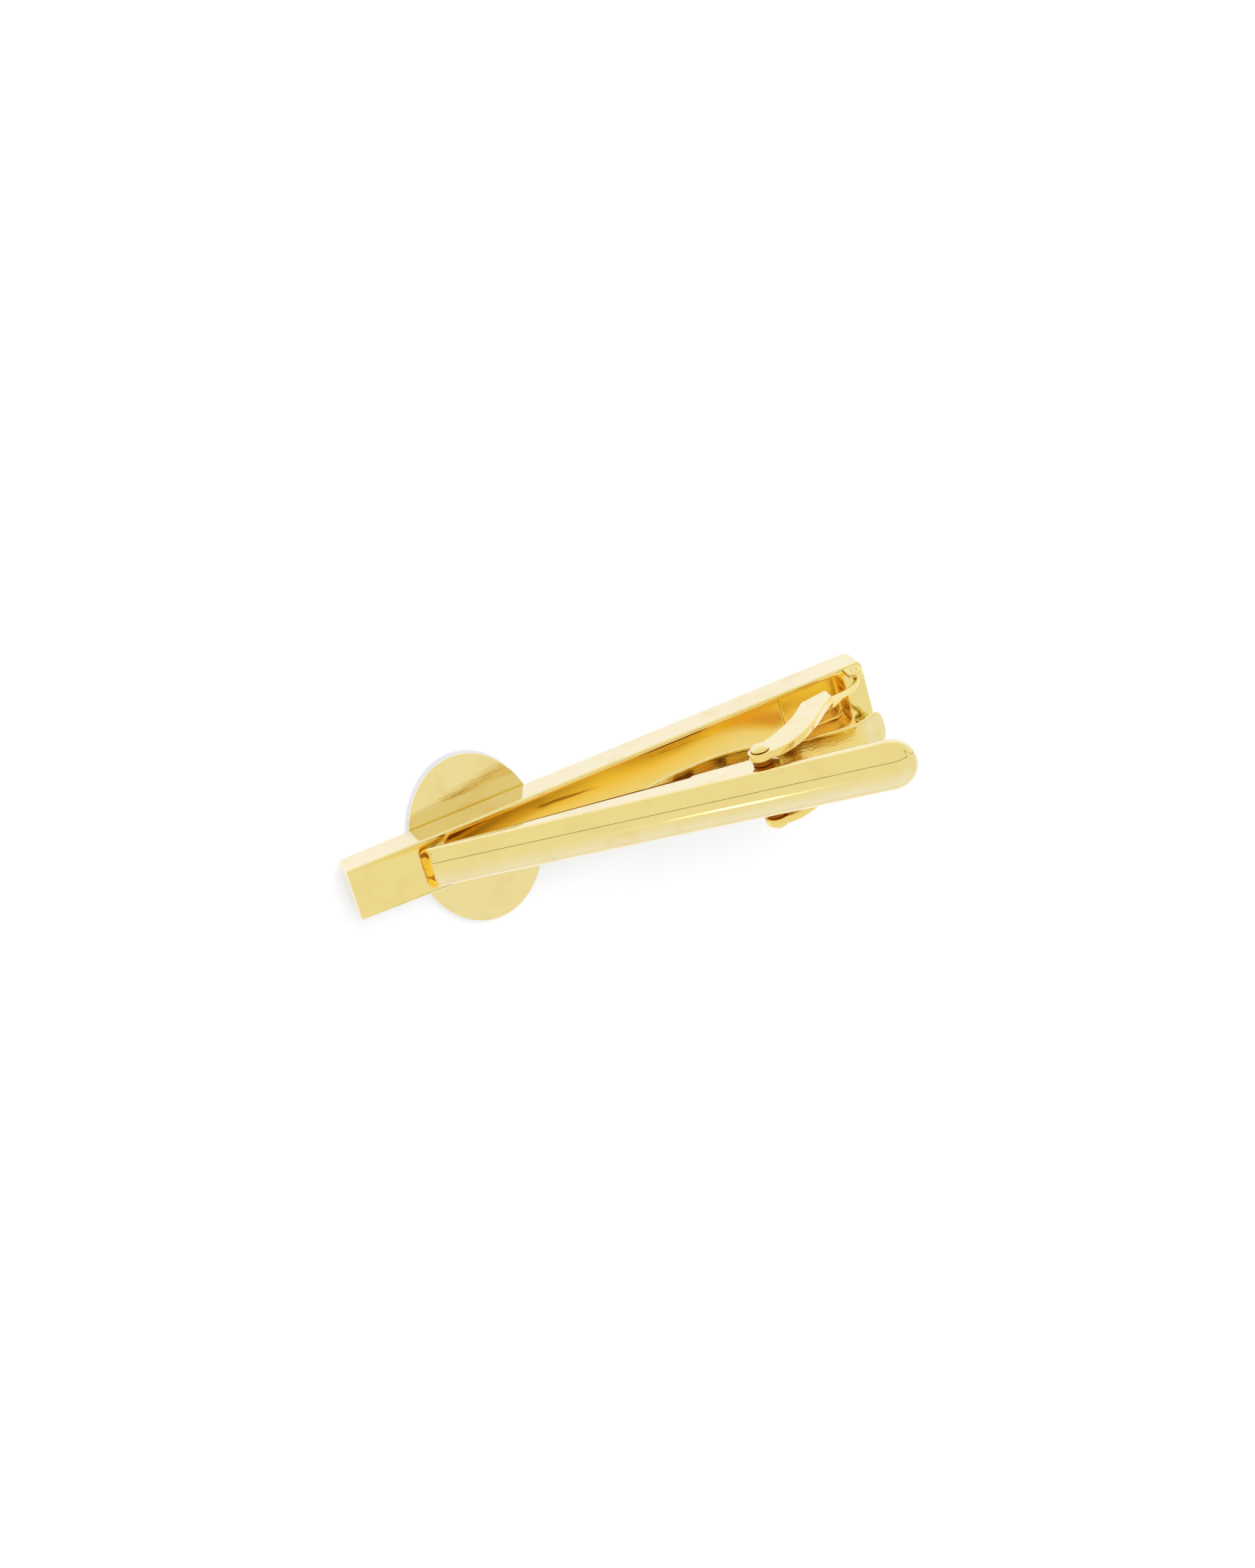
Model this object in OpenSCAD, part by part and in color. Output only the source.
// Toggle tie clip with an oval emblem, lying on the flat front of the emblem with its arm open.
// +X runs along the bar to the hinge end, +Z out of the bar's back, and Y = 0 is the middle of the bar.
// The origin is on the front of the emblem, under the middle of the emblem's width.

/* [Bar] */
// Length of the bar
bar_length = 60; // [56:0.5:68]
// Width of the bar at its tip end
bar_width = 6; // [5.6:0.1:6.6]
// Width of the bar at its hinge end
bar_end_width = 7.3; // [7.1:0.1:7.8]
// Depth of the bar, from its front to the rim of its back
bar_depth = 3.6; // [3.2:0.1:4.6]
// Thickness of the side walls of the hollow
rim_wall = 0.6; // [0.4:0.05:0.7]
// Thickness of the front under the hollow
floor_wall = 1; // [0.8:0.1:1.3]
// Length of the solid back at the tip end
tip_land = 10.9; // [9:0.1:14]
// Length of the solid back at the hinge end
hinge_land = 2.5; // [2.4:0.1:3.5]
// Corner radius of the bar, seen from the back
corner_radius = 0.5; // [0.3:0.05:0.9]
// Radius of the front's edges
front_edge_radius = 0.6; // [0.3:0.05:0.9]
// Radius of the back's outer edges
back_edge_radius = 0.25; // [0.1:0.05:0.4]
// Corner radius of the hollow
hollow_radius = 0.6; // [0.3:0.1:1.2]
// Length of the deep pocket at the hinge end of the hollow
pocket_length = 7; // [6:0.1:10]
// Height of the raised floor over the pocket
floor_step = 1; // [0.6:0.1:1.1]

/* [Emblem] */
// Size of the emblem along the bar
emblem_width = 14.4; // [10:0.1:18]
// Size of the emblem across the bar
emblem_height = 19.8; // [14:0.1:24]
// Distance of the emblem's middle from the tip end of the bar
emblem_inset = 14.85; // [12:0.1:30]
// Distance of the emblem's middle below the middle of the bar
emblem_drop = 0.7; // [0:0.05:1.5]
// Thickness of the emblem's gold back plate
plate_thickness = 0.4; // [0.3:0.05:0.8]
// Thickness of the emblem's silver front
face_thickness = 0.9; // [0.6:0.05:1.4]
// Width of the border round the front
border_width = 0.7; // [0.4:0.1:1.5]
// Width of the groove inside the border
groove_width = 0.5; // [0.3:0.1:1]
// Depth of the groove
groove_depth = 0.2; // [0.1:0.05:0.4]

/* [Hinge] */
// Distance of the hinge axis from the hinge end of the bar
hinge_inset = 1.4; // [1.2:0.05:1.6]
// Height of the hinge axis over the rim
hinge_height = 1; // [0.9:0.05:1.3]
// Radius of the hinge lugs
lug_radius = 0.9; // [0.8:0.05:1.1]
// Thickness of a hinge lug
lug_thickness = 0.7; // [0.5:0.05:0.9]
// Distance of a lug from the side of the bar
lug_edge = 0.15; // [0.1:0.05:0.3]

/* [Link] */
// Distance from the hinge axis to the rivet axis
link_length = 19; // [18.2:0.1:20]
// Angle of the open link over the bar
open_angle = 35.9; // [30:0.1:39]
// Diameter of the wire legs
wire_diameter = 0.7; // [0.6:0.02:0.76]
// Length of a cheek, from the rivet axis to its far corner
cheek_length = 12.9; // [12:0.1:13.6]
// Width of a cheek
cheek_width = 3.3; // [3:0.1:3.8]
// Thickness of a cheek
cheek_thickness = 0.9; // [0.7:0.05:1.2]
// Radius of the round end of a cheek
cheek_end_radius = 1.35; // [1.2:0.05:1.6]
// Thickness of the flat end of a wire leg, behind its cheek
paddle_thickness = 0.36; // [0.3:0.02:0.4]
// Width of the flat end of a wire leg
paddle_width = 2.1; // [1.5:0.1:2.3]

/* [Rivets] */
// Diameter of a rivet's shank
shank_diameter = 1.1; // [0.9:0.05:1.3]
// Diameter of a rivet's outer head
head_diameter = 2; // [1.8:0.05:2.3]
// Height of a rivet's outer head
head_height = 0.65; // [0.4:0.05:0.8]
// Diameter of a rivet's inner head
tail_diameter = 1.7; // [1.5:0.05:1.9]
// Height of a rivet's inner head
tail_height = 0.25; // [0.15:0.05:0.3]
// Thickness of a spacer washer
spacer_thickness = 0.65; // [0.5:0.05:0.75]
// Diameter of a spacer washer
spacer_diameter = 2.1; // [1.8:0.05:2.4]

/* [Arm] */
// Length of the arm
arm_length = 52.8; // [50:0.1:54]
// Width of the arm at its tip
arm_tip_width = 4.6; // [4.2:0.1:5]
// Radius of the corners of the arm's tip
arm_tip_radius = 0.9; // [0.4:0.1:1.5]
// Width of the arm at its round end
arm_end_width = 5.7; // [5.4:0.1:6]
// Height of the arm's back over its rim, at the tip
arm_tip_height = 0.9; // [0.8:0.05:1.3]
// Rise of the arm's back from the tip to the round end
arm_rise = 4.45; // [4:0.05:4.8]
// Height of the arm's crown over its side edges, at the round end
arm_crown = 0.9; // [0.6:0.05:1.1]
// Radius of the long edges of the arm's back
arm_edge_radius = 0.7; // [0.5:0.05:0.75]
// Thickness of the arm's sheet
sheet = 0.5; // [0.45:0.05:0.6]
// Distance of the rivet axis from the arm's tip
rivet_reach = 37.25; // [36:0.1:38.5]
// Height of the rivet axis over the arm's rim
rivet_height = 1.65; // [1.5:0.05:1.8]
// Radius of the ears round the rivets
ear_radius = 1.7; // [1.5:0.05:1.8]
// Height of the side walls beyond the ears
end_wall = 0.7; // [0.5:0.05:1]

/* [Leaf spring] */
// Thickness of the leaf spring
leaf_thickness = 0.4; // [0.3:0.02:0.45]
// Distance of the leaf's bend from the arm's tip
leaf_start = 20; // [18:0.1:21]
// Length of the leaf's foot, soldered under the arm's back
leaf_foot_length = 3.2; // [2.6:0.1:4]
// Length of the leaf's blade along the arm
leaf_reach = 30.4; // [29:0.1:31.5]
// Distance of the middle of the blade's belly below the arm's rim
leaf_sag = 5.1; // [4.4:0.1:5.4]

/* [Hidden] */
$fn = 48;

gold = "#e8cf7a";
silver = "#dedbe4";
// Overrun of the tools that cut through a solid
cut = 0.5;
// Running clearance of a pin in its bore, on the radius
pin_gap = 0.04;
// Gap between two faces that slide on each other
side_gap = 0.05;
// Gap between the arm's tip and the bar
rest_gap = 0.1;

// Levels of the emblem and the bar over the table
bar_front = face_thickness + plate_thickness;
groove_inset = border_width + groove_width;
rim_z = bar_front + bar_depth;
tip_x = -emblem_inset;
end_x = tip_x + bar_length;
hollow_end = bar_length - hinge_land;
bar_half = function(s) (bar_width + (bar_end_width - bar_width) * s / bar_length) / 2;

// Axes of the mechanism, open
hinge_x = end_x - hinge_inset;
hinge_z = rim_z + hinge_height;
rivet_x = hinge_x - link_length * cos(open_angle);
rivet_z = hinge_z + link_length * sin(open_angle);
tip_to_rivet = sqrt(rivet_reach * rivet_reach + rivet_height * rivet_height);
arm_angle = asin((rivet_z - rim_z - rest_gap) / tip_to_rivet) - atan2(rivet_height, rivet_reach);

// Arm: middle of the round end, and the half width along the arm
arm_end_radius = arm_end_width / 2;
arm_end_x = arm_length - arm_end_radius;
arm_half = function(s) arm_tip_width / 2 + (arm_end_radius - arm_tip_width / 2) * s / arm_end_x;
arm_back = function(s) arm_tip_height + arm_rise * s / arm_end_x;
crown_radius = (arm_end_radius * arm_end_radius + arm_crown * arm_crown) / (2 * arm_crown);
crown_drop = function(y) crown_radius - sqrt(crown_radius * crown_radius - y * y);

// Link: places across the bar
rivet_half = arm_half(rivet_reach);
cheek_in = rivet_half + side_gap + spacer_thickness;
cheek_out = cheek_in + cheek_thickness;
lug_out = bar_half(bar_length - hinge_inset) - lug_edge;
lug_in = lug_out - lug_thickness;
leg_y = lug_in - side_gap - wire_diameter / 2;
paddle_y = cheek_in - paddle_thickness / 2;

// A cheek's outline from the round end, as shares of its length and width, seen from the left side
cheek_top_shares = [[0.07, 0.68], [0.24, 0.86], [0.42, 0.87], [0.59, 0.78], [0.79, 0.605], [0.91, 0.56]];
cheek_end_shares = [[1, 0.14], [0.98, 0.02], [0.83, -0.225], [0.78, -0.325]];
cheek_low_shares = [[0.67, -0.21], [0.515, -0.09], [0.28, -0.11], [0.13, -0.22]];
// Middle line of a wire leg: shares of the link's length along it, and of the wire's diameter over it
leg_along_shares = [1, 0.985, 0.955, 0.862, 0.762, 0.68, 0.59];
leg_over_shares = [0, 0.35, 0.5, 1.05, 1.45, 1.75, 1.6];
// Share of the way out to the cheek, and of the change from round wire to flat paddle
leg_out_shares = [0, 0, 0.05, 0.3, 0.7, 1, 1];
leg_flat_shares = [0, 0, 0, 0.05, 0.4, 1, 1];

// Middle line of the leaf's blade: shares of its reach along the arm, and of its sag below the rim
blade_along_shares = [0.059, 0.118, 0.176, 0.242, 0.314, 0.379, 0.431, 0.471,
                      0.516, 0.608, 0.725, 0.81, 0.876, 0.922, 0.961, 1];
blade_down_shares = [0.129, 0.319, 0.536, 0.716, 0.836, 0.933, 0.988, 1,
                     0.978, 0.88, 0.753, 0.723, 0.73, 0.79, 0.94, 1.09];

// Smooth curve through points: the Catmull-Rom blend of each four neighbours, in steps a stretch
function blend4(a, b, c, d, t) =
    0.5 * (2 * b + (c - a) * t + (2 * a - 5 * b + 4 * c - d) * t * t + (3 * b - a - 3 * c + d) * t * t * t);
function smooth(points, steps) = let (last = len(points) - 1) [
    for (i = [0 : last - 1], j = [0 : steps - 1])
        blend4(points[max(i - 1, 0)], points[i], points[i + 1], points[min(i + 2, last)], j / steps),
    points[last]
];
function unit(v) = v / norm(v);
function arc(x, y, radius, from) =
    [for (a = [from : 15 : from + 90]) [x + radius * cos(a), y + radius * sin(a)]];
function ellipse(half_x, half_y, steps = 96) =
    [for (i = [0 : steps - 1]) [half_x * cos(360 * i / steps), half_y * sin(360 * i / steps)]];

// Rectangle on the X axis with rounded corners, of one radius below and one above
module round_rect(length, height, low_radius, high_radius) {
    translate([-length / 2, low_radius])
        square([length, height - low_radius - high_radius]);
    translate([low_radius - length / 2, 0])
        square([length - 2 * low_radius, low_radius]);
    translate([high_radius - length / 2, height - high_radius])
        square([length - 2 * high_radius, high_radius]);
    for (side = [-1, 1]) {
        translate([side * (length / 2 - low_radius), low_radius])
            circle(r = low_radius);
        translate([side * (length / 2 - high_radius), height - high_radius])
            circle(r = high_radius);
    }
}

// Cylinder along Y between two distances from the middle of the bar
module across(from, to, radius) {
    translate([0, to, 0])
        rotate([90, 0, 0])
            cylinder(r = radius, h = to - from);
}

// Places of the arm's and the link's own axes, open: X along each from the tip and from the rivet
module on_arm() {
    translate([rivet_x, 0, rivet_z])
        rotate([0, -arm_angle, 0])
            translate([-rivet_reach, 0, -rivet_height])
                children();
}
module on_link() {
    translate([rivet_x, 0, rivet_z])
        rotate([0, open_angle, 0])
            children();
}
module mirrored_if(right) {
    if (right)
        mirror([0, 1, 0])
            children();
    else
        children();
}

// Plan of a stretch of the tapered bar, inset from its sides, with rounded corners
module bar_plan(from, to, inset, radius) {
    hull()
        for (s = [from + radius, to - radius], side = [-1, 1])
            translate([tip_x + s, side * (bar_half(s) - inset - radius)])
                circle(r = radius);
}
module bar_end_section(width) {
    rotate([90, 0, 90])
        linear_extrude(cut)
            round_rect(width, bar_depth, front_edge_radius, back_edge_radius);
}

// The bar: one blank rounded from three sides, hollow at the back, with a pair of hinge lugs
module bar_blank() {
    translate([0, 0, bar_front])
        intersection() {
            linear_extrude(bar_depth)
                bar_plan(0, bar_length, 0, corner_radius);
            translate([tip_x + bar_length / 2, bar_end_width / 2, 0])
                rotate([90, 0, 0])
                    linear_extrude(bar_end_width)
                        round_rect(bar_length, bar_depth, front_edge_radius, back_edge_radius);
            hull() {
                translate([tip_x - cut, 0, 0])
                    bar_end_section(bar_width);
                translate([end_x, 0, 0])
                    bar_end_section(bar_end_width);
            }
        }
}
module bar_hollow() {
    translate([0, 0, bar_front + floor_wall + floor_step])
        linear_extrude(bar_depth)
            bar_plan(tip_land, hollow_end, rim_wall, hollow_radius);
    translate([0, 0, bar_front + floor_wall])
        linear_extrude(bar_depth)
            bar_plan(hollow_end - pocket_length, hollow_end, rim_wall, hollow_radius);
}
module hinge_lug() {
    translate([hinge_x, 0, hinge_z]) {
        across(lug_in, lug_out, lug_radius);
        translate([-lug_radius, lug_in, -hinge_height - back_edge_radius])
            cube([2 * lug_radius, lug_thickness, hinge_height + back_edge_radius]);
    }
}
module front_bar() {
    color(gold)
        difference() {
            union() {
                difference() {
                    bar_blank();
                    bar_hollow();
                }
                hinge_lug();
                mirror([0, 1, 0])
                    hinge_lug();
            }
            translate([hinge_x, 0, hinge_z])
                for (side = [-1, 1])
                    translate([0, side * (lug_in + lug_out) / 2, 0])
                        across(-lug_thickness / 2 - cut, lug_thickness / 2 + cut, wire_diameter / 2 + pin_gap);
        }
}

// The emblem: a gold back plate and a silver front with a plain border
module emblem_plate() {
    color(gold)
        translate([0, -emblem_drop, face_thickness])
            linear_extrude(plate_thickness)
                polygon(ellipse(emblem_width / 2, emblem_height / 2));
}
module emblem_face() {
    color(silver)
        translate([0, -emblem_drop, 0])
            difference() {
                linear_extrude(face_thickness)
                    polygon(ellipse(emblem_width / 2, emblem_height / 2));
                translate([0, 0, -cut])
                    linear_extrude(cut + groove_depth)
                        difference() {
                            polygon(ellipse(emblem_width / 2 - border_width, emblem_height / 2 - border_width));
                            polygon(ellipse(emblem_width / 2 - groove_inset, emblem_height / 2 - groove_inset));
                        }
            }
}

// Half of the arm's cross-section: side wall, rounded edge, crown, as points from the rim to the middle
function arm_half_section(half, top, inset) = let (
    radius = arm_edge_radius - inset * 0.6,
    side = half - inset,
    crown = top - inset,
    edge_top = crown - crown_drop(side - radius),
    tilt = asin((side - radius) / crown_radius),
    bottom = inset > 0 ? -cut : 0
) concat(
    [[0, bottom], [side, bottom]],
    [for (a = [0 : 15 : 75]) let (z = edge_top - radius + radius * sin(a))
        if (z > bottom) [side - radius + radius * cos(a), z]],
    [for (k = [5 : -1 : 0]) let (y = (side - radius) * k / 5 + (k == 5 ? radius * sin(tilt) : 0))
        [y, crown - crown_drop(y)]]
);
module arm_body(inset) {
    hull() {
        translate([inset, 0, 0])
            rotate([90, 0, 90])
                linear_extrude(sheet / 10) {
                    section = arm_half_section(arm_half(0), arm_back(0), inset);
                    polygon(section);
                    mirror([1, 0])
                        polygon(section);
                }
        translate([arm_end_x, 0, 0])
            rotate_extrude($fn = 40)
                polygon(arm_half_section(arm_end_radius, arm_back(arm_end_x), inset));
    }
}
// Outline of the arm seen from its back, with rounded corners at the tip
module arm_plan() {
    hull() {
        for (side = [-1, 1])
            translate([arm_tip_radius, side * (arm_half(0) - arm_tip_radius)])
                circle(r = arm_tip_radius, $fn = 32);
        translate([arm_end_x, 0])
            circle(r = arm_end_radius, $fn = 40);
    }
}
// What is cut from the side walls beyond the ears, seen from the side
module beyond_ears() {
    end_rim = arm_back(arm_end_x) - arm_crown - end_wall;
    ear_rim = arm_back(rivet_reach) - crown_drop(rivet_half) - end_wall;
    difference() {
        polygon([[rivet_reach, -cut], [arm_length + cut, -cut], [arm_length + cut, end_rim],
                 [rivet_reach, ear_rim]]);
        translate([rivet_reach, rivet_height])
            circle(r = ear_radius);
    }
}
module arm_shell() {
    color(gold)
        on_arm()
            difference() {
                intersection() {
                    arm_body(0);
                    linear_extrude(2 * arm_back(arm_end_x))
                        arm_plan();
                }
                arm_body(sheet);
                translate([0, arm_end_width / 2 + cut, 0])
                    rotate([90, 0, 0])
                        linear_extrude(arm_end_width + 2 * cut)
                            beyond_ears();
                translate([rivet_reach, 0, rivet_height])
                    across(-arm_end_width, arm_end_width, shank_diameter / 2 + pin_gap);
            }
}

// The leaf spring: a strip with its foot under the arm's back and a blade that bends at the foot's end
leaf_half = arm_half(leaf_start - leaf_foot_length) - sheet - 2 * side_gap;
leaf_seat = function(s) arm_back(s) - sheet - crown_drop(leaf_half) - side_gap - leaf_thickness / 2;
leaf_bend = [leaf_start, leaf_seat(leaf_start)];
bend_radius = 0.55 * leaf_thickness;
blade_line = smooth(concat([leaf_bend], [for (i = [0 : len(blade_along_shares) - 1])
    leaf_bend + [leaf_reach * blade_along_shares[i], -(leaf_bend[1] + leaf_sag) * blade_down_shares[i]]]), 3);
function strip(line, thickness) = let (
    last = len(line) - 1,
    side = [for (i = [0 : last]) let (along = unit(line[min(i + 1, last)] - line[max(i - 1, 0)]))
        [-along[1], along[0]] * thickness / 2]
) concat([for (i = [0 : last]) line[i] + side[i]], [for (i = [last : -1 : 0]) line[i] - side[i]]);
module leaf_extrude() {
    translate([0, leaf_half, 0])
        rotate([90, 0, 0])
            linear_extrude(2 * leaf_half)
                children();
}
module leaf_foot() {
    start = leaf_start - leaf_foot_length;
    color(gold)
        on_arm()
            leaf_extrude()
                difference() {
                    polygon(strip([[start, leaf_seat(start)], leaf_bend], leaf_thickness));
                    translate(leaf_bend)
                        circle(r = bend_radius + pin_gap);
                }
}
module leaf_blade() {
    corner = leaf_half / 2;
    leaf_end = leaf_start + leaf_reach;
    color(gold)
        on_arm() {
            translate([leaf_bend[0], 0, leaf_bend[1]])
                across(-leaf_half, leaf_half, bend_radius);
            intersection() {
                leaf_extrude()
                    polygon(strip(blade_line, leaf_thickness));
                translate([0, 0, -2 * leaf_sag])
                    linear_extrude(4 * leaf_sag)
                        polygon(concat([[leaf_start - leaf_half, leaf_half], [leaf_start - leaf_half, -leaf_half]],
                                       arc(leaf_end - corner, corner - leaf_half, corner, -90),
                                       arc(leaf_end - corner, leaf_half - corner, corner, 0)));
            }
        }
}

// A cheek: a curved strap cut from plate, with its rivet hole
module cheek_outline() {
    point = function(share) [share[0] * cheek_length, share[1] * cheek_width];
    start = 0.9 * cheek_end_radius;
    polygon(concat(
        [[-start / 2, 0]],
        smooth(concat([[0, start]], [for (share = cheek_top_shares) point(share)]), 4),
        [for (share = cheek_end_shares) point(share)],
        smooth(concat([for (share = cheek_low_shares) point(share)], [[0, -start]]), 4)
    ));
}
module link_cheek(right) {
    color(gold)
        on_link()
            mirrored_if(right)
                difference() {
                    union() {
                        across(cheek_in, cheek_out, cheek_end_radius);
                        translate([0, cheek_out, 0])
                            rotate([90, 0, 0])
                                linear_extrude(cheek_thickness)
                                    cheek_outline();
                    }
                    across(cheek_in - cut, cheek_out + cut, shank_diameter / 2);
                }
}

// A wire leg: a round foot in the lug, and a leg that leaves it, leans out and flattens behind the cheek
leg_diameter = 0.92 * wire_diameter;
leg_line = smooth([for (i = [0 : len(leg_along_shares) - 1])
    [link_length * leg_along_shares[i],
     leg_y + (paddle_y - leg_y) * leg_out_shares[i],
     wire_diameter * leg_over_shares[i]]], 3);
leg_flat = smooth(leg_flat_shares, 3);
leg_rings = [for (i = [0 : len(leg_line) - 1]) let (
    along = unit(leg_line[min(i + 1, len(leg_line) - 1)] - leg_line[max(i - 1, 0)]),
    wide = unit(cross(along, [0, 1, 0])),
    thin = cross(along, wide),
    half_wide = (leg_diameter + (paddle_width - leg_diameter) * leg_flat[i]) / 2,
    half_thin = (leg_diameter + (paddle_thickness - leg_diameter) * leg_flat[i]) / 2
) [for (a = [0 : 30 : 330]) leg_line[i] + wide * half_wide * cos(a) + thin * half_thin * sin(a)]];
module leg_sweep() {
    sides = 12;
    rings = len(leg_rings);
    polyhedron(
        points = [for (ring = leg_rings) each ring],
        faces = concat(
            [[for (k = [0 : sides - 1]) k]],
            [for (i = [0 : rings - 2], k = [0 : sides - 1])
                [i * sides + k, (i + 1) * sides + k, (i + 1) * sides + (k + 1) % sides, i * sides + (k + 1) % sides]],
            [[for (k = [sides - 1 : -1 : 0]) (rings - 1) * sides + k]]
        ));
}
module link_wire(right) {
    color(gold)
        on_link()
            mirrored_if(right) {
                leg_sweep();
                translate([link_length, 0, 0])
                    across(leg_y - wire_diameter / 2, lug_out, wire_diameter / 2);
            }
}

// A rivet: a domed outer head on the cheek, a shank, and a flat tail inside the arm
module pivot_rivet(right) {
    wall_in = rivet_half - sheet;
    dome_radius = (head_diameter * head_diameter / 4 + head_height * head_height) / (2 * head_height);
    color(gold)
        on_link()
            mirrored_if(right) {
                across(wall_in - side_gap - tail_height, cheek_out + head_height / 4, shank_diameter / 2);
                across(wall_in - side_gap - tail_height, wall_in - side_gap, tail_diameter / 2);
                intersection() {
                    across(cheek_out, cheek_out + head_height, head_diameter / 2);
                    translate([0, cheek_out + head_height - dome_radius, 0])
                        sphere(r = dome_radius);
                }
            }
}
module spacer_washer(right) {
    color(gold)
        on_link()
            mirrored_if(right)
                difference() {
                    across(cheek_in - spacer_thickness, cheek_in, spacer_diameter / 2);
                    across(cheek_in - spacer_thickness - cut, cheek_in + cut, shank_diameter / 2 + pin_gap);
                }
}

front_bar();
emblem_plate();
emblem_face();
arm_shell();
leaf_foot();
leaf_blade();
link_cheek(false);  // link_cheek_left
link_cheek(true);  // link_cheek_right
link_wire(false);  // link_wire_left
link_wire(true);  // link_wire_right
pivot_rivet(false);  // pivot_rivet_left
pivot_rivet(true);  // pivot_rivet_right
spacer_washer(false);  // spacer_washer_left
spacer_washer(true);  // spacer_washer_right
